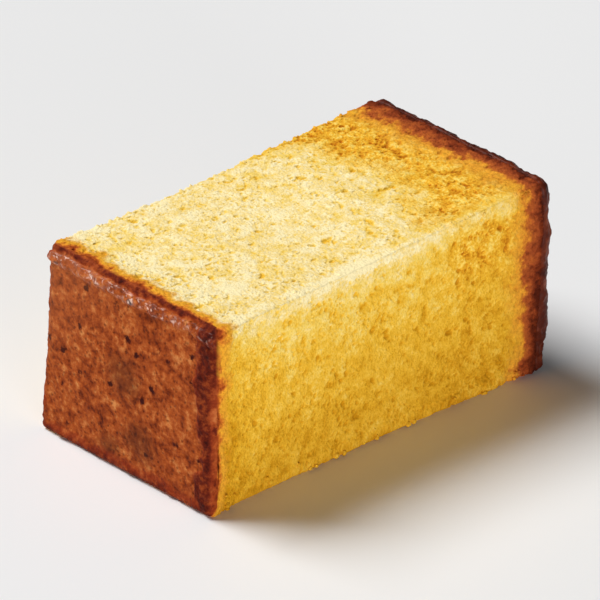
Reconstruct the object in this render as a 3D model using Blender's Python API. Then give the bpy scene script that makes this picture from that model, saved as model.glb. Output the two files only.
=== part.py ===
"""One slice of castella sponge cake, lying on a knife-cut side.

The slice is a block of sponge between two browned ends. The -Y end is the foot of the loaf,
where the baking paper was peeled off: nearly flat, with a soft rim whose upper corner flares.
The +Y end is the baked top of the loaf: a little wider and taller, domed, with a rounder rim.
The other four sides are knife cuts. They draw in between the stiff browned ends, wander where
the knife wavered, and lean a little, as soft cake does. The side below is flat, because the
slice rests on it.

Metres, +Z up. The origin is the middle of the footprint, on the surface the slice rests on.
"""

import math

import bmesh
import bpy
from mathutils import Matrix, Vector, noise

# Driving dimensions.
LENGTH = 0.0598  # between the rims of the two browned ends
FOOT_WIDTH = 0.0328
TOP_WIDTH = 0.0338  # the "top" is the loaf's baked top, the +Y end
FOOT_HEIGHT = 0.0278
TOP_HEIGHT = 0.0292

# Rounding of the edges.
RESTING_EDGE_RADIUS = 0.0006
KNIFE_EDGE_RADIUS = 0.0011
FOOT_RIM_RADIUS = 0.0018
TOP_RIM_RADIUS = 0.0026
RIM_BLEND = 0.0060  # the knife edges widen into a rim over this length

# How the soft block departs from a plain one.
TOP_DOME = 0.0021  # how far the baked top swells between its rims
FOOT_SWELL = 0.0007
WAIST = 0.0004  # how far the knife-cut sides draw in, halfway along
RIM_PROUD = 0.0004  # how far each browned rim stands out from the sponge beside it
RIM_REACH = 0.0032  # how far from its end a rim stands out
LEAN_ACROSS = 0.035  # sideways shift for each unit of height
LEAN_ALONG = 0.030
CORNER_FLARE = 0.0008  # how far the foot's upper corner turns out
CORNER_FLARE_REACH = 0.0055
KNIFE_WAVER = 0.0004
KNIFE_WAVER_LENGTH = 0.0130
CRUST_WRINKLE = 0.0006  # wrinkles and shallow pits of the baked skin
CRUST_WRINKLE_LENGTH = 0.0065

# The mesh lines that carry all this: close together by the edges, and even between them.
LINES_FROM_EDGE = (0.0005, 0.0011, 0.0019, 0.0028)
LINE_SPACING = 0.0027

CRUST_DEPTH = 0.0024  # browned layer at each end

HALF_SIZE = Vector((FOOT_WIDTH, LENGTH, FOOT_HEIGHT)) / 2


def clear_scene():
    for obj in list(bpy.data.objects):
        bpy.data.objects.remove(obj)


def food_material(name, rgb, roughness):
    material = bpy.data.materials.new(name)
    material.use_nodes = True
    shader = material.node_tree.nodes["Principled BSDF"]
    shader.inputs["Base Color"].default_value = (*rgb, 1.0)
    shader.inputs["Roughness"].default_value = roughness
    shader.inputs["Metallic"].default_value = 0.0
    material.diffuse_color = (*rgb, 1.0)
    return material


def line_places(half_size):
    """Where mesh lines cross one axis of the block, from its middle."""
    by_edge = [half_size - offset for offset in LINES_FROM_EDGE]
    reach = by_edge[-1]
    count = round(2 * reach / LINE_SPACING)
    between = [-reach + 2 * reach * i / count for i in range(1, count)]
    return by_edge + between + [-place for place in by_edge]


def lined_block(bm):
    """A plain block centred on the origin, crossed by mesh lines along all three axes."""
    bmesh.ops.create_cube(bm, size=2.0, matrix=Matrix.Diagonal((*HALF_SIZE, 1.0)))
    for axis in range(3):
        direction = Vector(float(i == axis) for i in range(3))
        for place in line_places(HALF_SIZE[axis]):
            bmesh.ops.bisect_plane(
                bm,
                geom=bm.verts[:] + bm.edges[:] + bm.faces[:],
                dist=1e-6,
                plane_co=direction * place,
                plane_no=direction,
            )


def eased(share):
    """0 to 1 with a soft start and end."""
    share = min(1.0, max(0.0, share))
    return share * share * (3 - 2 * share)


def edge_radius(plain):
    """The rounding near a point: small below, wider on the knife edges, widest on the rims."""
    rim = TOP_RIM_RADIUS if plain.y > 0 else FOOT_RIM_RADIUS
    nearness = eased(1 - (HALF_SIZE.y - abs(plain.y)) / RIM_BLEND)
    open_edge = KNIFE_EDGE_RADIUS + (rim - KNIFE_EDGE_RADIUS) * nearness
    raised = eased((plain.z + HALF_SIZE.z) / HALF_SIZE.z)
    return RESTING_EDGE_RADIUS + (open_edge - RESTING_EDGE_RADIUS) * raised


def rounded(plain):
    """Moves a point of the plain block's surface onto its rounded edges and corners."""
    radius = edge_radius(plain)
    core = Vector(
        math.copysign(min(abs(plain[i]), HALF_SIZE[i] - radius), plain[i]) for i in range(3)
    )
    return core + (plain - core).normalized() * radius


def waver(point, seed):
    """The knife's slow wander at a point, from about -1 to 1."""
    return noise.noise(point / KNIFE_WAVER_LENGTH + Vector((seed, 0.0, 0.0)))


def end_swell(across, along, up, plain):
    """How far an end stands out between its rims."""
    if along > 0:
        swell = TOP_DOME * (1 - up * up) * (0.7 + 0.3 * (1 - across * across))
        wrinkle = CRUST_WRINKLE * noise.noise(plain / CRUST_WRINKLE_LENGTH) * (1 - up**4)
        return swell + wrinkle
    return -FOOT_SWELL * (1 - up * up) * (1 - 0.5 * across * across)


def shaped(plain):
    """Where a point of the plain block's surface lies on the real slice."""
    soft = rounded(plain)
    across, along, up = (soft[i] / HALF_SIZE[i] for i in range(3))  # each -1 to 1
    towards_top = (along + 1) / 2
    raised = (up + 1) / 2

    # The slice grows towards the baked top, draws in at its waist, and its rims stand proud.
    from_end = HALF_SIZE.y - abs(plain.y)
    rim = RIM_PROUD * math.exp(-((from_end / RIM_REACH) ** 2))
    outward = rim - WAIST * (1 - along * along)
    half_width = (FOOT_WIDTH + (TOP_WIDTH - FOOT_WIDTH) * towards_top) / 2 + outward
    height = FOOT_HEIGHT + (TOP_HEIGHT - FOOT_HEIGHT) * towards_top + outward

    # The knife wandered on the three open sides.
    wander = KNIFE_WAVER * raised
    x = across * half_width + wander * abs(across) ** 3 * waver(plain, 3.0 if across > 0 else 11.0)
    z = raised * height + wander * raised**2 * waver(plain, 23.0)
    y = soft.y + end_swell(across, along, up, plain) * along**6

    # The foot's upper corner on the +X side turns out.
    corner = Vector((HALF_SIZE.x, -HALF_SIZE.y, HALF_SIZE.z))
    flare = CORNER_FLARE * math.exp(-(((plain - corner).length / CORNER_FLARE_REACH) ** 2))
    return Vector((x + flare + LEAN_ACROSS * z, y - flare / 2 + LEAN_ALONG * z, z))


def centre_on_footprint(bm):
    """Moves the slice so that the origin is the middle of the floor of its outer box."""
    low = Vector(min(v.co[i] for v in bm.verts) for i in range(3))
    high = Vector(max(v.co[i] for v in bm.verts) for i in range(3))
    middle = (low + high) / 2
    bmesh.ops.translate(bm, verts=bm.verts[:], vec=(-middle.x, -middle.y, -low.z))


def paint_ends(mesh):
    """Gives the faces of each browned end its own material; slot 0 is the sponge."""
    foot = min(v.co.y for v in mesh.vertices) + CRUST_DEPTH
    baked_top = max(v.co.y for v in mesh.vertices) - CRUST_DEPTH - TOP_DOME
    for face in mesh.polygons:
        if face.center.y < foot:
            face.material_index = 1
        elif face.center.y > baked_top:
            face.material_index = 2


def castella_slice(collection):
    bm = bmesh.new()
    lined_block(bm)
    for vert in bm.verts:
        vert.co = shaped(vert.co)
    centre_on_footprint(bm)
    mesh = bpy.data.meshes.new("castella_slice")
    bm.to_mesh(mesh)
    bm.free()

    mesh.materials.append(food_material("sponge crumb", (0.82, 0.52, 0.12), 0.85))
    mesh.materials.append(food_material("peeled foot crust", (0.27, 0.07, 0.02), 0.6))
    mesh.materials.append(food_material("baked top crust", (0.08, 0.02, 0.01), 0.45))
    paint_ends(mesh)
    mesh.shade_smooth()
    collection.objects.link(bpy.data.objects.new("castella_slice", mesh))


def main():
    clear_scene()
    collection = bpy.data.collections.new("castella sponge cake")
    bpy.context.scene.collection.children.link(collection)
    castella_slice(collection)


main()
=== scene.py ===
"""The looks of one slice of castella sponge cake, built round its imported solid.

Three closed pieces stand for the solid: the crumb, cut by a knife on four sides; the foot crust at
-Y, where baking paper was peeled off; and the baked top crust at +Y. Each is a fine grid cast onto
the solid's own surface, then roughened by cut bubbles, torn crumb and wrinkled skin. Loose crumbs
of cake cling to them. Sizes are in metres; MM turns millimetres into metres.
"""

import math

import bmesh
import bpy
import numpy as np
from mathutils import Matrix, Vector
from mathutils.bvhtree import BVHTree


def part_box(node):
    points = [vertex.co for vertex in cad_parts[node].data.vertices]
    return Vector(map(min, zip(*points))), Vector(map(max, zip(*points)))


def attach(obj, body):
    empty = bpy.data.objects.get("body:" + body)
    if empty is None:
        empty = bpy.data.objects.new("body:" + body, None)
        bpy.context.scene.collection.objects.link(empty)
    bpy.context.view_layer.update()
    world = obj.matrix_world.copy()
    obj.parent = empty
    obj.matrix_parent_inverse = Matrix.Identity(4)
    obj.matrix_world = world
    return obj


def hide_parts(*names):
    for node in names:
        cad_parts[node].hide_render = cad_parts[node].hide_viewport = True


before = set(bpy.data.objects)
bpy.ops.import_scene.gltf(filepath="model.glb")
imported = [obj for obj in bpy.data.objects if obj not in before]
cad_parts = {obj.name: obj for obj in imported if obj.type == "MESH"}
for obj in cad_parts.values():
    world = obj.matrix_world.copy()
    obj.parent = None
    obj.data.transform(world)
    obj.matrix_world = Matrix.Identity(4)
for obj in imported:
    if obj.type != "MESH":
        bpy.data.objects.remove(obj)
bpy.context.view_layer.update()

MM = 0.001
NODE = "castella_slice"
LOW, HIGH = (np.array(corner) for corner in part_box(NODE))
MIDDLE = (LOW + HIGH) / 2

# Mesh spacing on each kind of surface.
CRUMB_STEP = 0.150 * MM
RESTING_STEP = 0.75 * MM
CRUST_STEP = 0.170 * MM
CRUMB_LENGTHS = 3  # the crumb is meshed in this many lengths, end to end

# The browned layers, as depths in from the rim of each end.
FOOT_SKIN_DEPTH = 0.38 * MM
TOP_SKIN_DEPTH = 2.0 * MM
SKIN_RAGGED = 0.35 * MM  # how far a skin's inner edge wanders
CORNER_BROWNING = 0.9 * MM  # the foot's browning is this much less deep at the upper right
LOWER_BROWNING = 0.7 * MM  # and this much less deep down towards the plate
SKIN_LAP = 0.6 * MM  # how far the crumb runs on under a skin

# Greyer, overbaked spots on the foot: shares of its width and height, and a size.
FOOT_SMUDGES = ((0.50, 0.50, 4.5 * MM), (0.58, 0.20, 5.0 * MM), (0.40, 0.08, 3.5 * MM))

NUBS = 900
NUB_SIZES = (0.12 * MM, 0.34 * MM)  # radii
NUB_SPREAD = 0.3 * MM  # how far in from an edge they thin out

KNIFE_EDGE_TAKEN_OFF = 0.9 * MM  # the knife left the crumb's edges this much sharper than the solid
LIP_HEIGHT = 0.20 * MM  # along its upper right edge the open top rises this much
LIP_WIDTH = 2.8 * MM

CORE_INSET = 5.5 * MM  # rays leave the slice's core this far inside its outer box


# ---------------------------------------------------------------- numbers that vary in space


def cell_numbers(cells, seed):
    """A number from 0 to 1 for each cell of a lattice, the same in each run."""
    key = cells[..., 0] * 374761393 + cells[..., 1] * 668265263 + cells[..., 2] * 1442695041
    key = (key + seed * 1274126177) & 0xFFFFFFFF
    key = ((key ^ (key >> 13)) * 1274126177) & 0xFFFFFFFF
    return ((key ^ (key >> 16)) & 0xFFFFFF) / 0xFFFFFF


def lumps(places, size, seed):
    """Smooth noise from -1 to 1, with lumps about this size."""
    spots = np.asarray(places) / size
    cells = np.floor(spots).astype(np.int64)
    within = spots - cells
    ease = within * within * (3 - 2 * within)
    total = np.zeros(len(spots))
    for corner in np.ndindex(2, 2, 2):
        weight = np.prod(np.where(corner, ease, 1 - ease), axis=1)
        total += weight * cell_numbers(cells + corner, seed)
    return 2 * total - 1


def grain(places, size, seed, layers=3):
    """Lumps with finer lumps on them, from about -1 to 1."""
    return sum(lumps(places, size / 2**i, seed + 17 * i) / 2**i for i in range(layers)) / 1.4


def ramp(values, start, end):
    """0 before start, 1 after end, and a soft step between."""
    share = np.clip((values - start) / (end - start), 0, 1)
    return share * share * (3 - 2 * share)


# ---------------------------------------------------------------- the solid's own form


def slice_form():
    """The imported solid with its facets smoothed, to cast rays onto."""
    bm = bmesh.new()
    bm.from_mesh(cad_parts[NODE].data)
    bmesh.ops.remove_doubles(bm, verts=bm.verts, dist=0.001 * MM)
    bmesh.ops.join_triangles(
        bm, faces=bm.faces[:], angle_face_threshold=0.7, angle_shape_threshold=0.7
    )
    mesh = bpy.data.meshes.new("slice_form")
    bm.to_mesh(mesh)
    bm.free()
    form = bpy.data.objects.new("slice_form", mesh)
    bpy.context.scene.collection.objects.link(form)
    form.modifiers.new("smooth", "SUBSURF").levels = 2
    graph = bpy.context.evaluated_depsgraph_get()
    tree = BVHTree.FromObject(form, graph)
    bpy.data.objects.remove(form)
    return tree


FORM = slice_form()


def cast_on_slice(plain):
    """Moves points of the slice's outer box onto the slice, along rays from its core."""
    core = np.clip(plain, LOW + CORE_INSET, HIGH - CORE_INSET)
    places = [FORM.ray_cast(Vector(a), Vector(b))[0] for a, b in zip(core, plain - core)]
    return np.array(places)


def rim_y(outline, end_y):
    """Where the rim of an end lies along Y, for each (x, z) of an outline of the outer box."""
    plain = np.column_stack([outline[:, 0], np.full(len(outline), end_y), outline[:, 1]])
    return cast_on_slice(plain)[:, 1]


def skin_edge(outline, depth, seed):
    """How deep a skin reaches at each (x, z) of an outline, ragged as torn crust is."""
    spots = np.column_stack([outline[:, 0], np.zeros(len(outline)), outline[:, 1]])
    return np.maximum(depth + SKIN_RAGGED * grain(spots, 2.2 * MM, seed), 0.5 * depth)


# ---------------------------------------------------------------- fine grids


def places_between(start, end, step):
    """Evenly spaced numbers from start up to, and without, end."""
    count = max(1, round(abs(end - start) / step))
    return start + (end - start) * np.arange(count) / count


def box_outline(side_step, resting_step):
    """(x, z) round the outer box, anticlockwise from its lower left as seen from -Y."""
    (x0, _, z0), (x1, _, z1) = LOW, HIGH
    bottom = [(x, z0) for x in places_between(x0, x1, resting_step)]
    right = [(x1, z) for z in places_between(z0, z1, side_step)]
    top = [(x, z1) for x in places_between(x1, x0, side_step)]
    left = [(x0, z) for z in places_between(z1, z0, side_step)]
    return np.array(bottom + right + top + left)


def mesh_object(name, places, faces, corner_uv, numbers):
    """A smooth-shaded mesh with a map for baking and a named number at each vertex."""
    mesh = bpy.data.meshes.new(name)
    mesh.from_pydata(places.tolist(), [], faces)
    layer = mesh.uv_layers.new(name="OFBake")
    layer.uv.foreach_set("vector", np.asarray(corner_uv, np.float32).ravel())
    for key, values in numbers.items():
        attribute = mesh.attributes.new(key, "FLOAT", "POINT")
        attribute.data.foreach_set("value", np.asarray(values, np.float32))
    mesh.shade_smooth()
    piece = bpy.data.objects.new(name, mesh)
    bpy.context.scene.collection.objects.link(piece)
    return piece


def wobbled(places, size, amount, seed):
    """Places pushed about by lumps of this size, so that what is laid over them isn't regular."""
    return places + amount * np.stack([lumps(places, size, seed + i) for i in range(3)], 1)


def outward(places, faces):
    """The outward direction at each vertex."""
    mesh = bpy.data.meshes.new("directions")
    mesh.from_pydata(places.tolist(), [], faces)
    found = np.empty(len(places) * 3, np.float32)
    mesh.vertex_normals.foreach_get("vector", found)
    bpy.data.meshes.remove(mesh)
    return found.reshape(-1, 3).astype(float)


# ---------------------------------------------------------------- bubbles


def cut_bubbles(places, spacing, radii, share, swell, seed):
    """How deep each place lies in a bubble that the cut opened, in metres.

    Bubbles fill space, one to each cell of a lattice of this spacing, and only this share of the
    cells holds one. A cut through them shows rounds of every size up to the largest radius, made
    larger and smaller from place to place by swell."""
    spots = places / spacing
    cells = np.floor(spots).astype(np.int64)
    deepest = np.zeros(len(places))
    for corner in np.ndindex(3, 3, 3):
        cell = cells + corner - 1
        centre = cell + np.stack([cell_numbers(cell, seed + i) for i in range(3)], 1)
        size = radii[0] + (radii[1] - radii[0]) * cell_numbers(cell, seed + 3) ** 2
        size = np.where(cell_numbers(cell, seed + 4) < share, size, 0)
        apart = np.sum(((spots - centre) * spacing) ** 2, axis=1)
        deepest = np.maximum(deepest, (size * swell) ** 2 - apart)
    return np.sqrt(deepest)


# ---------------------------------------------------------------- colour placing


def golden_crumb_and_shade(places):
    """0 to 1: the coarser, deeper golden crumb under the baked top, partly real and partly painted shade where
    the light falls off towards the baked top. It is strongest on the open side, and weaker along that side's
    right-hand long edge.

    It reaches furthest down the loaf along both long edges, and least in the middle."""
    along = (places[:, 1] - LOW[1]) / (HIGH[1] - LOW[1])
    across = (places[:, 0] - LOW[0]) / (HIGH[0] - LOW[0])
    up = ramp(places[:, 2], HIGH[2] - 14 * MM, HIGH[2] - 4 * MM)
    middle = 0.10 * np.sin(np.pi * np.clip(across * 1.1, 0, 1))
    start = 0.54 + middle + 0.05 * grain(places, 5 * MM, 5)
    blotches = 0.95 + 0.35 * grain(places, 3 * MM, 6, 3)
    beside = ramp(across, 0.86, 0.98) * ramp(places[:, 2], HIGH[2] - 5.5 * MM, HIGH[2] - 2 * MM)
    strength = 1 - 0.60 * beside
    return np.clip(
        ramp(along, start, start + 0.20) * strength * blotches * (0.35 + 0.65 * up), 0, 1
    )


def below_top_edge(plain):
    """How far each point of the outer box lies down a side, from its upper long edge. It is
    negative on the open top."""
    aside = np.minimum(plain[:, 0] - LOW[0], HIGH[0] - plain[:, 0])
    return HIGH[2] - plain[:, 2] - aside


def foot_reach(plain, depth):
    """How much further from the foot each point seems at the upper right corner and low on the
    sides, where the browning is less deep, in metres."""
    down = below_top_edge(plain)
    corner = ramp(plain[:, 0], LOW[0], HIGH[0]) * ramp(down, 1.0 * MM, -0.5 * MM)
    lower = ramp(down, 8 * MM, 17 * MM)
    return (CORNER_BROWNING * corner + LOWER_BROWNING * lower) * ramp(depth, 0, 0.8 * MM)


def top_reach(plain, depth):
    """How much further from the baked top each point seems on the open side and near the plate,
    where the browned zone is narrower, in metres."""
    down = below_top_edge(plain)
    narrower = 0.25 * ramp(down, 1.0 * MM, -0.5 * MM) + 0.45 * ramp(down, 15 * MM, 24 * MM)
    return narrower * MM * ramp(depth, 0, 1.0 * MM)


def dryness_and_light(plain):
    """How pale the crumb is painted: 1 and a little over on the open top, down to 0 at the plate. The top is
    paler partly because the cut crumb dries pale there and partly as painted light, standing in for its sheen
    and stronger light; the sides carry painted shade, deeper yellow down towards the plate.
    """
    down = below_top_edge(plain) / (HIGH[2] - LOW[2])
    # The sides: painted shade, deeper yellow down towards the plate, and deeper yellow near the foot.
    side = 0.72 - 0.42 * ramp(down, 0.05, 0.5) - 0.30 * ramp(down, 0.35, 0.95)
    along = (plain[:, 1] - LOW[1]) / (HIGH[1] - LOW[1])
    side -= 0.4 * ramp(along, 0.14, 0.02)
    # The open top: partly dried crumb, partly painted light, less pale towards the baked top; along its long
    # edges paler near the foot and deeper yellow towards the baked top.
    edge = 1.03 - 0.2 * ramp(along, 0.6, 0.9) + 0.08 * ramp(along, 0.3, 0.08)
    beside = ramp(below_top_edge(plain), -3.0 * MM, -0.5 * MM)
    edge += (0.12 - 0.36 * ramp(along, 0.40, 0.65)) * beside
    # A painted pale glow, standing in for light through the crumb, down the top few millimetres of each side
    # under its upper long edge, away from the foot.
    painted_edge_glow = ramp(below_top_edge(plain), -0.9 * MM, 0.3 * MM)
    painted_edge_glow *= ramp(below_top_edge(plain), 3.2 * MM, 1.3 * MM) * ramp(along, 0.2, 0.4)
    return side + (edge - side) * ramp(below_top_edge(plain), 5.0 * MM, 0.8 * MM) + 0.3 * painted_edge_glow


# ---------------------------------------------------------------- pieces


def crumb_pieces():
    """The crumb: a tube round the loaf's height, closed inside the two skins, in a few lengths."""
    outline = box_outline(CRUMB_STEP, RESTING_STEP)
    columns = len(outline)
    start = LOW[1] + SKIN_LAP
    end = HIGH[1] - SKIN_LAP
    rows_y = np.append(places_between(start, end, CRUMB_STEP), end)
    rows = len(rows_y)
    plain = np.column_stack(
        [
            np.tile(outline[:, 0], rows),
            np.repeat(rows_y, columns),
            np.tile(outline[:, 1], rows),
        ]
    )
    places = cast_on_slice(plain)
    normals = outward(places, tube_faces(rows, columns))

    warped = wobbled(wobbled(places, 1.0 * MM, 0.34 * MM, 60), 0.36 * MM, 0.11 * MM, 65)
    swell = 1 + 0.35 * grain(places, 3.0 * MM, 70, 2)
    fine = cut_bubbles(warped, 0.50 * MM, (0.12 * MM, 0.30 * MM), 0.90, swell, 71)
    medium = cut_bubbles(warped, 0.95 * MM, (0.18 * MM, 0.46 * MM), 0.50, swell, 76)
    bubbles = np.maximum(fine, medium)

    golden = golden_crumb_and_shade(places)
    resting = ramp(places[:, 2], 0.9 * MM, 0.2 * MM) * (1 - 0.9 * abs(normals[:, 0]))
    from_edge = np.sort(np.minimum(plain - LOW, HIGH - plain)[:, ::2], axis=1)[:, 1]
    edge = ramp(from_edge, 1.6 * MM, 0.2 * MM)
    facing = np.max(abs(normals[:, ::2]), axis=1) / np.linalg.norm(normals[:, ::2], axis=1)
    upper_right = np.maximum(HIGH[0] - plain[:, 0], HIGH[2] - plain[:, 2])
    clean = 1 - 0.65 * ramp(upper_right, 2.2 * MM, 0.5 * MM)
    crumble = grain(places, 1.2 * MM, 7, 4)
    fine_relief = (0.11 + 0.10 * golden + 0.06 * edge) * MM * crumble - 0.62 * bubbles
    fine_relief *= clean
    torn = edge * clean * ramp(grain(places, 0.55 * MM, 8, 2), -0.2, 0.8)
    low, left = ramp(places[:, 2], 4 * MM, 1 * MM), ramp(places[:, 0], MIDDLE[0], LOW[0])
    relief = (
        0.10 * MM * grain(places, 5 * MM, 3, 2)
        + fine_relief
        + (0.12 + 0.22 * np.maximum(left, 1.4 * low)) * MM * torn
        + KNIFE_EDGE_TAKEN_OFF * (1 / facing - 1)
        + LIP_HEIGHT * np.clip(1 - upper_right / LIP_WIDTH, 0, 1)
        - 0.14 * MM * edge * np.clip(grain(places, 2.2 * MM, 9), 0, 1)
    )
    relief *= 1 - resting
    # Painted shade: deep hollows get a deeper yellow in the material.
    hollow_shade = ramp(-fine_relief, -0.03 * MM, 0.28 * MM)

    # Under a skin the crumb steps down out of sight.
    foot_depth = places[:, 1] - np.tile(rim_y(outline, LOW[1]), rows)
    top_depth = np.tile(rim_y(outline, HIGH[1]), rows) - places[:, 1]
    foot_edge = np.tile(skin_edge(outline, FOOT_SKIN_DEPTH, 31), rows)
    top_edge = np.tile(skin_edge(outline, TOP_SKIN_DEPTH, 32), rows)
    covered = np.maximum(
        ramp(foot_depth, foot_edge - 0.05 * MM, foot_edge - 0.25 * MM),
        ramp(top_depth, top_edge - 0.15 * MM, top_edge - 0.5 * MM),
    )
    relief = relief * (1 - covered) - 0.45 * MM * covered
    places += normals * relief[:, None]
    places[:, 2] = np.maximum(places[:, 2], 0)

    shading = outward(places, tube_faces(rows, columns))
    # Painted shade: flanks that turn steeply aside get the same warm deeper yellow, standing in for light
    # scattered through the crumb.
    steep_warm_shade = (1 - edge) * ramp(np.sum(shading * normals, axis=1), 0.96, 0.70)
    hollow_shade = np.maximum(hollow_shade, 0.7 * steep_warm_shade)
    numbers = {
        "hollow_shade": hollow_shade * (1 - covered),
        "golden": golden,
        "dryness_and_light": dryness_and_light(plain),
        "foot_depth": (foot_depth + foot_reach(plain, foot_depth)) / MM,
        "top_depth": (top_depth + top_reach(plain, top_depth)) / MM,
    }
    pieces = []
    cuts = np.linspace(0, rows - 1, CRUMB_LENGTHS + 1).astype(int)
    for i, (first, last) in enumerate(zip(cuts[:-1], cuts[1:])):
        part = slice(first * columns, (last + 1) * columns)
        count = last + 1 - first
        piece = mesh_object(
            f"crumb_{i + 1}",
            places[part],
            tube_faces(count, columns),
            tube_uv(count, columns),
            {key: values[part] for key, values in numbers.items()},
        )
        piece.data.normals_split_custom_set_from_vertices(shading[part])
        pieces.append(piece)
    return pieces, places, normals, numbers


def torn_crumbs(spots, normals, numbers):
    """Torn nubs of crumb that cling along the edges that the knife left."""
    random = np.random.default_rng(91)
    off = np.sort(np.minimum(spots - LOW, HIGH - spots)[:, ::2], axis=1)
    edge = np.exp(-off[:, 1] / NUB_SPREAD)
    clear = (numbers["foot_depth"] > 2) & (numbers["top_depth"] > 4) & (off[:, 0] < 4 * MM)
    open_air = spots[:, 2] > NUB_SIZES[0]
    patchy = ramp(grain(spots, 2.5 * MM, 92), -0.5, 0.7)
    clean = (spots[:, 0] > MIDDLE[0]) & (spots[:, 2] > MIDDLE[2])
    low = ramp(spots[:, 2], 1.5 * MM, 0.8 * MM)
    weight = clear * open_air * patchy * edge * (1 - 0.7 * clean + 1.5 * low)
    chosen = random.choice(len(spots), NUBS, p=weight / weight.sum())

    ball = bmesh.new()
    bmesh.ops.create_icosphere(ball, subdivisions=2, radius=1.0)
    shape = np.array([v.co for v in ball.verts])
    corners = np.array([[v.index for v in face.verts] for face in ball.faces])
    ball.free()

    radius = NUB_SIZES[0] + (NUB_SIZES[1] - NUB_SIZES[0]) * random.random(NUBS) ** 2.2
    radius *= 1 + 0.9 * low[chosen]
    lumpy = 1 + 0.3 * np.stack([grain(shape + 9.0 * i, 0.9, 93, 2) for i in range(NUBS)])
    bodies = shape[None] * lumpy[..., None]
    bodies *= random.uniform(0.7, 1.25, (NUBS, 1, 3)) * radius[:, None, None]
    seat = spots[chosen] + normals[chosen] * (radius * random.uniform(-0.3, 0.3, NUBS))[:, None]
    places = (bodies + seat[:, None]).reshape(-1, 3)
    places[:, 2] = np.maximum(places[:, 2], 0.02 * MM)
    faces = (corners[None] + len(shape) * np.arange(NUBS)[:, None, None]).reshape(-1, 3)

    # Each nub has a small square of the map to itself.
    side = math.ceil(math.sqrt(NUBS))
    square = np.stack(np.divmod(np.arange(NUBS), side), 1)
    flat = 0.5 + 0.42 * shape[:, :2] + 0.06 * shape[:, 2:]
    uv = ((square[:, None] + flat[None]) / side).reshape(-1, 2)[faces].reshape(-1, 2)
    kept = {key: np.repeat(values[chosen], len(shape)) for key, values in numbers.items()}
    kept["hollow_shade"] = np.zeros(len(places))
    return mesh_object("torn_crumbs", places, faces.tolist(), uv, kept)


def tube_faces(rows, columns):
    """Quads of a tube that closes on itself, and a flat face over each end."""
    row, column = np.divmod(np.arange((rows - 1) * columns), columns)
    after = (column + 1) % columns
    quads = np.column_stack(
        [
            row * columns + column,
            (row + 1) * columns + column,
            (row + 1) * columns + after,
            row * columns + after,
        ]
    )
    first = list(range(columns))
    last = list(range((rows - 1) * columns, rows * columns))
    return quads.tolist() + [first, last[::-1]]


def tube_uv(rows, columns):
    """The tube laid out flat, with its two hidden ends as small patches above."""
    row, column = np.divmod(np.arange((rows - 1) * columns), columns)
    tube_top = 0.93
    u = np.column_stack([column, column, column + 1, column + 1]) / columns
    v = np.column_stack([row, row + 1, row + 1, row]) / (rows - 1) * tube_top
    turn = 2 * np.pi * np.arange(columns) / columns
    ring = 0.03 * np.column_stack([np.cos(turn), np.sin(turn)])
    ends = [ring + (0.04, 0.965), ring[::-1] + (0.12, 0.965)]
    return np.concatenate([np.stack([u, v], 2).reshape(-1, 2), *ends])


def skin_layout(end_y, inward, depth):
    """Plain points, faces, map and ring of a skin: an end face, a band round it, and a back."""
    across = round((HIGH[0] - LOW[0]) / CRUST_STEP)
    upward = round((HIGH[2] - LOW[2]) / CRUST_STEP)
    bands = round(depth / CRUST_STEP)
    xs, zs = np.linspace(LOW[0], HIGH[0], across + 1), np.linspace(LOW[2], HIGH[2], upward + 1)
    grid_z, grid_x = np.meshgrid(zs, xs, indexing="ij")
    face = np.column_stack([grid_x.ravel(), np.full(grid_x.size, end_y), grid_z.ravel()])
    index = np.arange(face.shape[0]).reshape(upward + 1, across + 1)
    ring = np.concatenate([index[0, :-1], index[:-1, -1], index[-1, :0:-1], index[:0:-1, 0]])
    band = [face[ring] + (0, inward * depth * i / bands, 0) for i in range(1, bands + 1)]
    plain = np.concatenate([face, *band])

    quads = np.stack([index[:-1, :-1], index[:-1, 1:], index[1:, 1:], index[1:, :-1]], 2)
    faces = quads.reshape(-1, 4).tolist()
    rings = [ring] + [len(face) + i * len(ring) + np.arange(len(ring)) for i in range(bands)]
    for outer, inner in zip(rings[:-1], rings[1:]):
        turned = np.roll(outer, -1), np.roll(inner, -1)
        faces += np.column_stack([outer, inner, turned[1], turned[0]]).tolist()
    faces.append(rings[-1][::-1].tolist())
    if inward < 0:
        faces = [corners[::-1] for corners in faces]

    # The map is the end face with the band folded out flat round it.
    middle = (face - face.mean(0))[:, ::2] / (HIGH[0] - LOW[0])
    spread = [middle[ring] * (1 + 0.30 * i / bands) for i in range(1, bands + 1)]
    uv = 0.5 + 0.74 * np.concatenate([middle, *spread])
    corners = np.concatenate([np.asarray(corners) for corners in faces[:-1]])
    back = 0.5 + (uv[faces[-1]] - 0.5) * 0.03 + (0.46, 0.46)
    return plain, faces, np.concatenate([uv[corners], back]), ring, bands


def skin_numbers(places, plain, ring, bands, inward):
    """For each vertex of a skin: depth in from the rim; and the count of vertices on the end face."""
    in_face = len(places) - bands * len(ring)
    rim = places[ring, 1]
    depth = np.zeros(len(places))
    depth[in_face:] = (places[in_face:, 1] - np.tile(rim, bands)) * inward
    return depth, in_face


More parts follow.
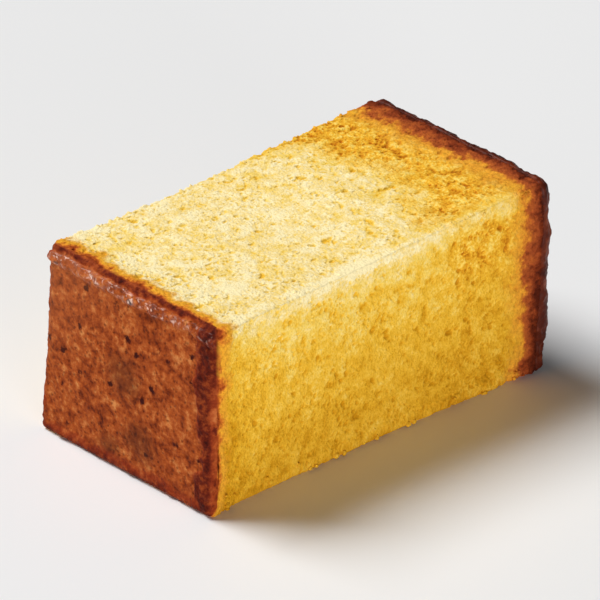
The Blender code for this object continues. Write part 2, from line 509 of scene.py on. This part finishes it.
def foot_skin_piece():
    """The foot crust: brown and finely grained where the paper was peeled off."""
    reach = FOOT_SKIN_DEPTH + SKIN_RAGGED + 0.9 * MM
    plain, faces, uv, ring, bands = skin_layout(LOW[1], 1, reach)
    places = cast_on_slice(plain)
    normals = outward(places, faces)
    depth, in_face = skin_numbers(places, plain, ring, bands, 1)
    edge = skin_edge(plain[:, ::2], FOOT_SKIN_DEPTH, 31)

    # Distances from the face's four edges say where the unpeeled, rolled rim lies.
    from_top, from_right = HIGH[2] - plain[:, 2], HIGH[0] - plain[:, 0]
    from_left, from_bottom = plain[:, 0] - LOW[0], plain[:, 2] - LOW[2]
    wander = 1.2 * MM * grain(places, 2.4 * MM, 41, 4)
    rim = np.maximum.reduce(
        [
            ramp(from_top + wander, 1.2 * MM, 0.4 * MM),
            ramp(from_right + 1.6 * wander, 4.2 * MM, 3.0 * MM),
            0.5 * ramp(from_left + wander, 1.4 * MM, 0.2 * MM),
            # Low down the dark rim is partly the rim and partly painted shade, darkening towards the plate.
            0.9 * ramp(from_bottom + 0.6 * wander, 2.4 * MM, 0),
        ]
    )
    # Along the top the skin is rolled into a low ridge that stays shiny.
    below = from_top + 0.5 * wander
    ridge = ramp(below, 1.2 * MM, 1.75 * MM) * ramp(below, 4.1 * MM, 2.9 * MM)
    ridge[in_face:] = 0
    lip = ridge * (1 - 0.75 * ramp(plain[:, 0], MIDDLE[0], HIGH[0]))
    rim[in_face:] = 0.85
    lower = ramp(from_top, 7 * MM, 16 * MM)
    rim *= 1 - 0.75 * lower * ramp(from_right, 1.6 * MM, 0.4 * MM)
    # Painted light: the face is lighter towards its upper left, where the light falls on it.
    pale = ramp(from_left + from_top + wander, 26 * MM, 6 * MM)
    smudge = np.zeros(len(places))
    for across, up, size in FOOT_SMUDGES:
        spot = LOW + (HIGH - LOW) * (across, 0, up)
        apart = np.linalg.norm((plain - spot)[:, ::2], axis=1)
        smudge = np.maximum(smudge, ramp(apart + 1.3 * MM * grain(places, 2 * MM, 46), size, 0.2 * size))
    peeled = 1 - rim
    relief = (
        0.08 * MM * grain(places, 0.6 * MM, 43)
        - 0.24 * MM * peeled * np.clip(grain(places, 0.7 * MM, 44) - 0.25, 0, 1)
        + 0.14 * MM * grain(places, 3.2 * MM, 45, 2)
        + 0.20 * MM * rim * (1 + 1.3 * grain(places, 1.2 * MM, 48))
        + 0.42 * MM * ridge * (1 + 1.1 * grain(places, 1.5 * MM, 47))
        + 0.14 * MM * ridge * grain(places, 0.6 * MM, 49, 2)
    )
    dive = ramp(depth, edge - 0.1 * MM, edge + 0.45 * MM)
    relief = relief * (1 - dive) - 0.8 * MM * dive
    resting = ramp(places[:, 2], 0.9 * MM, 0.2 * MM)
    places += normals * (relief * (1 - resting))[:, None]
    places[:, 2] = np.maximum(places[:, 2], 0)
    numbers = {
        "rim": rim,
        "lip": lip,
        "smudge": smudge,
        "pale": pale,
        "foot_depth": (depth + foot_reach(plain, depth)) / MM,
        "top_depth": np.full(len(places), 50.0),
    }
    return mesh_object("foot_crust", places, faces, uv, numbers)


def baked_skin_piece():
    """The loaf's baked top: a dark, wrinkled, slightly shiny skin."""
    reach = TOP_SKIN_DEPTH + SKIN_RAGGED + 0.9 * MM
    plain, faces, uv, ring, bands = skin_layout(HIGH[1], -1, reach)
    places = cast_on_slice(plain)
    normals = outward(places, faces)
    depth, in_face = skin_numbers(places, plain, ring, bands, -1)
    edge = skin_edge(plain[:, ::2], TOP_SKIN_DEPTH, 32)
    wrinkles = 1 - abs(lumps(places, 2.6 * MM, 51)) * 2
    pits = np.clip(grain(places, 1.1 * MM, 52) - 0.3, 0, 1)
    rim = np.zeros(len(places))
    rim[in_face:] = ramp(depth[in_face:], edge[in_face:], edge[in_face:] - 0.7 * MM)
    relief = (
        0.10 * MM * wrinkles
        + 0.14 * MM * grain(places, 0.8 * MM, 53)
        - 0.24 * MM * pits
        + 0.26 * MM * grain(places, 3.5 * MM, 54, 2)
        + 0.22 * MM * rim * (1 + grain(places, 1.3 * MM, 55))
    )
    dive = ramp(depth, edge - 0.1 * MM, edge + 0.45 * MM)
    relief = relief * (1 - dive) - 0.8 * MM * dive
    resting = ramp(places[:, 2], 0.9 * MM, 0.2 * MM)
    places += normals * (relief * (1 - resting))[:, None]
    places[:, 2] = np.maximum(places[:, 2], 0)
    numbers = {
        "top_depth": (depth + top_reach(plain, depth)) / MM,
        "foot_depth": np.full(len(places), 50.0),
    }
    return mesh_object("baked_crust", places, faces, uv, numbers)


# ---------------------------------------------------------------- materials


def tint(code):
    """An sRGB hex colour as linear red, green, blue and alpha."""
    parts = [int(code[i : i + 2], 16) / 255 for i in (1, 3, 5)]
    return (*(c / 12.92 if c <= 0.04045 else ((c + 0.055) / 1.055) ** 2.4 for c in parts), 1.0)


def add(tree, kind, inputs=None, stops=None, **settings):
    """Adds a shader node. An input is a value, or the output of another node."""
    node = tree.nodes.new("ShaderNode" + kind)
    for name, value in settings.items():
        setattr(node, name, value)
    for name, value in (inputs or {}).items():
        if isinstance(value, bpy.types.NodeSocket):
            tree.links.new(value, node.inputs[name])
        else:
            node.inputs[name].default_value = value
    for i, (place, colour) in enumerate(stops or []):
        elements = node.color_ramp.elements
        element = elements[i] if i < 2 else elements.new(place)
        element.position = place
        element.color = tint(colour)
    return node


def mixed(tree, share, first, second):
    """The colour that lies this share of the way from the first to the second."""
    node = add(tree, "Mix", {0: share, 6: first, 7: second}, data_type="RGBA")
    return node.outputs[2]


def new_material(name):
    material = bpy.data.materials.new(name)
    material.use_nodes = True
    tree = material.node_tree
    return material, tree, tree.nodes["Principled BSDF"]


# For each baked end: its depth's name, how deep the browning reaches, and its colours by depth
# in from the rim, in millimetres.
BROWNED_ENDS = (
    (
        "foot_depth",
        3.1,
        (
            (0.0, "#8E3A14"),
            (0.3, "#A84E1C"),
            (0.6, "#C26822"),
            (0.95, "#D8862A"),
            (1.4, "#E2A02E"),
        ),
    ),
    (
        "top_depth",
        9.0,
        (
            (0.0, "#461608"),
            (1.9, "#531D0C"),
            (2.7, "#7A3115"),
            (3.4, "#984620"),
            (4.2, "#AE5824"),
            (4.7, "#CC7C28"),
            (5.2, "#DE982E"),
            (7.0, "#E0A030"),
        ),
    ),
)


def browned_by_depth(tree, place, crumb_colour):
    """Crumb that turns golden, orange, red-brown and dark as it nears either baked end."""
    wander = add(tree, "TexNoise", {"Vector": place, "Scale": 1 / (2.0 * MM), "Detail": 4.0})
    broad = add(tree, "TexNoise", {"Vector": place, "Scale": 1 / (7.0 * MM), "Detail": 1.0})
    swing = add(tree, "MapRange", {"Value": broad.outputs["Fac"], "To Min": -1.6, "To Max": 1.6})
    drift = add(
        tree,
        "MapRange",
        {"Value": wander.outputs["Fac"], "To Min": -2.4, "To Max": 2.4},
    )
    both = add(tree, "Math", {0: swing.outputs["Result"], 1: drift.outputs["Result"]}, operation="ADD")
    # Painted shade: hollows brown as if they lay nearer the baked ends.
    opened = add(tree, "Attribute", attribute_name="hollow_shade").outputs["Fac"]
    shift = add(
        tree, "Math", {0: opened, 1: -0.45, 2: both.outputs[0]}, operation="MULTIPLY_ADD"
    )
    fine = add(tree, "TexNoise", {"Vector": place, "Scale": 1 / (0.5 * MM), "Detail": 3.0})
    flecks = add(tree, "MapRange", {"Value": fine.outputs["Fac"], "To Min": 0.55, "To Max": 1.45})
    colour = crumb_colour
    for key, reach, tones in BROWNED_ENDS:
        depth = add(tree, "Attribute", attribute_name=key).outputs["Fac"]
        moved = add(tree, "Math", {0: depth, 1: shift.outputs[0]}, operation="ADD")
        share = add(tree, "MapRange", {"Value": moved.outputs[0], "From Max": reach})
        stops = [(at / reach, tone) for at, tone in tones]
        plain_brown = add(tree, "ValToRGB", {"Fac": share.outputs["Result"]}, stops)
        browned = add(
            tree,
            "VectorMath",
            {0: plain_brown.outputs["Color"], 1: flecks.outputs["Result"]},
            operation="MULTIPLY",
        )
        fade = add(
            tree,
            "MapRange",
            {"Value": moved.outputs[0], "From Min": 0.55 * reach, "From Max": reach},
            interpolation_type="SMOOTHSTEP",
        )
        colour = mixed(tree, fade.outputs["Result"], browned.outputs["Vector"], colour)
    return colour


def sponge_crumb():
    """Castella crumb: whipped egg foam set by baking, cut by a knife. Matt, moist and faintly translucent. It is
    pale on the open side, partly where it dried and partly as painted light, and deeper yellow as painted shade
    inside its bubbles and down its sides."""
    material, tree, shader = new_material("sponge crumb, knife-cut")
    place = add(tree, "TexCoord").outputs["Object"]
    soft = add(tree, "TexNoise", {"Vector": place, "Scale": 1 / (1.6 * MM), "Detail": 4.0})
    opened = add(tree, "Attribute", attribute_name="hollow_shade").outputs["Fac"]

    # How pale the crumb is painted gives its yellow: pale where it dried and where painted light lies, deep with
    # painted shade inside the opened bubbles.
    dry_and_lit = add(tree, "Attribute", attribute_name="dryness_and_light").outputs["Fac"]
    wander = add(tree, "MapRange", {"Value": soft.outputs["Fac"], "To Min": -0.64, "To Max": 0.64})
    patches = add(tree, "TexNoise", {"Vector": place, "Scale": 1 / (5.0 * MM), "Detail": 1.0})
    tone = add(tree, "MapRange", {"Value": patches.outputs["Fac"], "To Min": -0.34, "To Max": 0.34})
    around = add(tree, "Math", {0: dry_and_lit, 1: tone.outputs["Result"]}, operation="ADD")
    fine = add(tree, "TexNoise", {"Vector": place, "Scale": 1 / (0.40 * MM), "Detail": 3.0})
    speck = add(tree, "MapRange", {"Value": fine.outputs["Fac"], "To Min": -0.35, "To Max": 0.35})
    mottle = add(tree, "Math", {0: wander.outputs["Result"], 1: speck.outputs["Result"]}, operation="ADD")
    uneven = add(tree, "Math", {0: around.outputs[0], 1: mottle.outputs[0]}, operation="ADD")
    inner = add(tree, "Math", {0: opened, 1: -0.70, 2: uneven.outputs[0]}, operation="MULTIPLY_ADD")
    # Painted shade and deeper golden crumb: the golden patch makes the colour deeper here.
    golden = add(tree, "Attribute", attribute_name="golden").outputs["Fac"]
    moist = add(tree, "Math", {0: golden, 1: -0.5, 2: inner.outputs[0]}, operation="MULTIPLY_ADD")
    level = add(tree, "MapRange", {"Value": moist.outputs[0], "From Min": -0.6, "From Max": 1.2})
    ground = add(
        tree,
        "ValToRGB",
        {"Fac": level.outputs["Result"]},
        [
            (0.00, "#C48A12"),
            (0.18, "#D69B1E"),
            (0.34, "#E5AE2C"),
            (0.50, "#EFBD3E"),
            (0.68, "#F4D064"),
            (0.88, "#F9DF98"),
            (1.00, "#FEEDB8"),
        ],
    )
    # In the golden patch too, the hollows take painted shade.
    grainy = add(tree, "Math", {0: soft.outputs["Fac"], 1: speck.outputs["Result"]}, operation="ADD")
    coarse = add(tree, "Math", {0: opened, 1: -0.45, 2: grainy.outputs[0]}, operation="MULTIPLY_ADD")
    patch = add(
        tree,
        "ValToRGB",
        {"Fac": coarse.outputs[0]},
        [(0.05, "#B8660C"), (0.28, "#E09820"), (0.48, "#F1B834"), (0.68, "#FCDB6E")],
    )
    ripe = add(tree, "MapRange", {"Value": golden, "From Min": 0.25})
    pitted = mixed(tree, ripe.outputs["Result"], ground.outputs["Color"], patch.outputs["Color"])
    colour = browned_by_depth(tree, place, pitted)

    # Cells too fine for the mesh are dents in the surface, 0.3 mm apart.
    cells = add(tree, "TexVoronoi", {"Vector": place, "Scale": 1 / (0.32 * MM)})
    crumbs = add(tree, "Math", {0: cells.outputs["Distance"], 1: fine.outputs["Fac"]}, operation="ADD")
    bump = add(
        tree,
        "Bump",
        {"Height": crumbs.outputs[0], "Strength": 0.6, "Distance": 0.15 * MM},
    )
    tree.links.new(colour, shader.inputs["Base Color"])
    tree.links.new(bump.outputs["Normal"], shader.inputs["Normal"])
    shader.inputs["Roughness"].default_value = 0.9
    shader.inputs["IOR"].default_value = 1.38
    shader.inputs["Specular IOR Level"].default_value = 0.12
    return material


def peeled_crust():
    """The loaf's foot: baked brown against paper that was then peeled off. The paper took the
    smooth skin with it, so the face is matt and finely grained, with darker pits. Its rim keeps
    the skin, dark, sugary and slightly shiny."""
    material, tree, shader = new_material("foot crust, paper peeled off")
    place = add(tree, "TexCoord").outputs["Object"]
    grains = add(
        tree,
        "TexNoise",
        {"Vector": place, "Scale": 1 / (1.3 * MM), "Detail": 5.0, "Roughness": 0.68},
    )
    broad = add(tree, "TexNoise", {"Vector": place, "Scale": 1 / (4.5 * MM), "Detail": 3.0})
    sway = add(tree, "MapRange", {"Value": broad.outputs["Fac"], "To Min": -0.22, "To Max": 0.22})
    blotched = add(tree, "Math", {0: grains.outputs["Fac"], 1: sway.outputs["Result"]}, operation="ADD")
    tone = add(
        tree,
        "ValToRGB",
        {"Fac": blotched.outputs[0]},
        [(0.28, "#501A0A"), (0.42, "#8A3912"), (0.56, "#AE5422"), (0.74, "#D4884A")],
    )
    dots = add(tree, "TexVoronoi", {"Vector": place, "Scale": 1 / (0.85 * MM)})
    pitted = add(
        tree, "MapRange", {"Value": dots.outputs["Distance"], "From Min": 0.32, "From Max": 0.12}
    )
    deep = add(tree, "Math", {0: pitted.outputs["Result"], 1: 0.5}, operation="MULTIPLY")
    dotted = mixed(tree, deep.outputs[0], tone.outputs["Color"], tint("#46160A"))
    holes = add(tree, "TexVoronoi", {"Vector": place, "Scale": 1 / (3.4 * MM)})
    ragged = add(
        tree,
        "Math",
        {0: grains.outputs["Fac"], 1: 0.6, 2: holes.outputs["Distance"]},
        operation="MULTIPLY_ADD",
    )
    holed = add(
        tree, "MapRange", {"Value": ragged.outputs[0], "From Min": 0.46, "From Max": 0.38}
    )
    face = mixed(tree, holed.outputs["Result"], dotted, tint("#3C0E08"))
    # Painted light: lighter towards the face's upper left.
    thin = add(tree, "Attribute", attribute_name="pale").outputs["Fac"]
    lighter = add(tree, "Math", {0: thin, 1: 0.22}, operation="MULTIPLY")
    lit_upper_left = mixed(tree, lighter.outputs[0], face, tint("#C87648"))
    stain = add(tree, "Attribute", attribute_name="smudge").outputs["Fac"]
    smudge = add(tree, "Math", {0: stain, 1: 0.5}, operation="MULTIPLY")
    mottled = mixed(tree, smudge.outputs[0], lit_upper_left, tint("#4A2614"))
    rim_tone = add(
        tree, "ValToRGB", {"Fac": blotched.outputs[0]}, [(0.32, "#360A05"), (0.50, "#641E0C"), (0.68, "#9E461C")]
    )
    rim = add(tree, "Attribute", attribute_name="rim").outputs["Fac"]
    nearing = add(tree, "MapRange", {"Value": rim, "From Max": 0.5, "To Max": 0.45})
    reddened = mixed(tree, nearing.outputs["Result"], mottled, tint("#B03A1C"))
    edged = mixed(tree, rim, reddened, rim_tone.outputs["Color"])
    depth = add(tree, "Attribute", attribute_name="foot_depth").outputs["Fac"]
    cut = add(tree, "MapRange", {"Value": depth, "From Min": 0.05, "From Max": 0.45})
    banded = browned_by_depth(tree, place, tint("#E2AA3A"))
    colour = mixed(tree, cut.outputs["Result"], edged, banded)
    # The rolled lip keeps a broken, sugary shine: a real gloss in the coat, with painted highlight specks in its
    # colour.
    lip = add(tree, "Attribute", attribute_name="lip").outputs["Fac"]
    patches = add(tree, "TexNoise", {"Vector": place, "Scale": 1 / (0.9 * MM), "Detail": 3.0})
    broken = add(
        tree, "MapRange", {"Value": patches.outputs["Fac"], "From Min": 0.4, "From Max": 0.62}
    )
    shine = add(tree, "Math", {0: lip, 1: broken.outputs["Result"]}, operation="MULTIPLY")
    # Painted highlight: pale pink specks in the lip's colour where it would glint.
    sugar = add(tree, "TexNoise", {"Vector": place, "Scale": 1 / (0.7 * MM), "Detail": 2.0})
    speck = add(tree, "MapRange", {"Value": sugar.outputs["Fac"], "From Min": 0.54, "From Max": 0.64})
    painted_sparkle = add(tree, "Math", {0: shine.outputs[0], 1: speck.outputs["Result"]}, operation="MULTIPLY")
    colour = mixed(tree, painted_sparkle.outputs[0], colour, tint("#F0C8B6"))
    pores = add(
        tree,
        "Math",
        {0: pitted.outputs["Result"], 1: -0.5, 2: grains.outputs["Fac"]},
        operation="MULTIPLY_ADD",
    )
    bump = add(tree, "Bump", {"Height": pores.outputs[0], "Strength": 0.7, "Distance": 0.3 * MM})
    tree.links.new(colour, shader.inputs["Base Color"])
    tree.links.new(shine.outputs[0], shader.inputs["Coat Weight"])
    tree.links.new(bump.outputs["Normal"], shader.inputs["Normal"])
    shader.inputs["Roughness"].default_value = 0.75
    shader.inputs["Coat Roughness"].default_value = 0.32
    shader.inputs["IOR"].default_value = 1.45
    shader.inputs["Specular IOR Level"].default_value = 0.10
    return material


def baked_crust():
    """The loaf's baked top: sugar and egg browned to a thin dark skin, finely wrinkled as the
    loaf cooled, with a soft sheen."""
    material, tree, shader = new_material("baked top crust, dark skin")
    place = add(tree, "TexCoord").outputs["Object"]
    mottle = add(tree, "TexNoise", {"Vector": place, "Scale": 1 / (2.4 * MM), "Detail": 5.0})
    skin = add(
        tree,
        "ValToRGB",
        {"Fac": mottle.outputs["Fac"]},
        [(0.3, "#300C05"), (0.5, "#501A09"), (0.7, "#7E3616")],
    )
    depth = add(tree, "Attribute", attribute_name="top_depth").outputs["Fac"]
    cut = add(tree, "MapRange", {"Value": depth, "From Min": 1.2, "From Max": 2.4})
    banded = browned_by_depth(tree, place, tint("#E2AA3A"))
    colour = mixed(tree, cut.outputs["Result"], skin.outputs["Color"], banded)
    fine = add(tree, "TexNoise", {"Vector": place, "Scale": 1 / (0.5 * MM), "Detail": 4.0})
    gloss = add(tree, "MapRange", {"Value": mottle.outputs["Fac"], "To Min": 0.38, "To Max": 0.55})
    bump = add(tree, "Bump", {"Height": fine.outputs["Fac"], "Strength": 0.5, "Distance": 0.2 * MM})
    tree.links.new(colour, shader.inputs["Base Color"])
    tree.links.new(gloss.outputs["Result"], shader.inputs["Roughness"])
    tree.links.new(bump.outputs["Normal"], shader.inputs["Normal"])
    shader.inputs["IOR"].default_value = 1.45
    shader.inputs["Specular IOR Level"].default_value = 0.15
    return material


# ---------------------------------------------------------------- studio


LAMP_DISTANCE = 3.0


def studio():
    """A pale floor, a large soft lamp high on the left, a weak fill and a white room."""
    scene = bpy.context.scene
    scene.view_settings.view_transform = "Standard"
    world = bpy.data.worlds.new("white room")
    world.use_nodes = True
    background = world.node_tree.nodes["Background"]
    background.inputs["Color"].default_value = (1, 1, 1, 1)
    background.inputs["Strength"].default_value = 0.05
    scene.world = world

    bm = bmesh.new()
    bmesh.ops.create_grid(bm, x_segments=1, y_segments=1, size=6.0)
    mesh = bpy.data.meshes.new("floor")
    bm.to_mesh(mesh)
    bm.free()
    floor = bpy.data.objects.new("floor", mesh)
    scene.collection.objects.link(floor)
    material, _, shader = new_material("white glazed board")
    shader.inputs["Base Color"].default_value = tint("#EEEEEE")
    shader.inputs["Roughness"].default_value = 0.5
    shader.inputs["Specular IOR Level"].default_value = 0.3
    mesh.materials.append(material)

    lamps = (
        ("key lamp", (-0.50, -0.22, 0.83), 1.5, 1.5, 104.0),
        ("fill lamp", (0.90, -0.43, 0.08), 1.0, 0.4, 60.0),
    )
    for name, direction, width, height, power in lamps:
        lamp = bpy.data.lights.new(name, "AREA")
        lamp.shape = "RECTANGLE"
        lamp.size = width
        lamp.size_y = height
        lamp.energy = power
        holder = bpy.data.objects.new(name, lamp)
        holder.location = Vector(direction).normalized() * LAMP_DISTANCE
        holder.rotation_euler = Vector(direction).to_track_quat("Z", "Y").to_euler()
        scene.collection.objects.link(holder)


VIEW_AZIMUTH, VIEW_ELEVATION = math.radians(47.2), math.radians(28.4)
VIEW_DISTANCE = 1.1
FRAME_WIDTH = 80 * MM  # how much of the slice's plane the picture spans


def camera():
    """A long lens, from the front right and above, looking at the slice's middle."""
    lens = bpy.data.cameras.new("camera")
    lens.lens = lens.sensor_width * VIEW_DISTANCE / FRAME_WIDTH
    holder = bpy.data.objects.new("camera", lens)
    level = math.cos(VIEW_ELEVATION)
    back = Vector(
        (
            math.sin(VIEW_AZIMUTH) * level,
            -math.cos(VIEW_AZIMUTH) * level,
            math.sin(VIEW_ELEVATION),
        )
    )
    holder.location = Vector(MIDDLE) + back * VIEW_DISTANCE
    holder.rotation_euler = back.to_track_quat("Z", "Y").to_euler()
    bpy.context.scene.collection.objects.link(holder)
    bpy.context.scene.camera = holder


def main():
    studio()
    camera()
    lengths, *surface = crumb_pieces()
    sponge = sponge_crumb()
    pieces = (
        *((length, sponge, "sponge_crumb") for length in lengths),
        (torn_crumbs(*surface), sponge, "sponge_crumb"),
        (foot_skin_piece(), peeled_crust(), "foot_crust"),
        (baked_skin_piece(), baked_crust(), "baked_crust"),
    )
    for piece, material, slot in pieces:
        piece.data.materials.append(material)
        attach(piece, "root")
        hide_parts(NODE)


main()
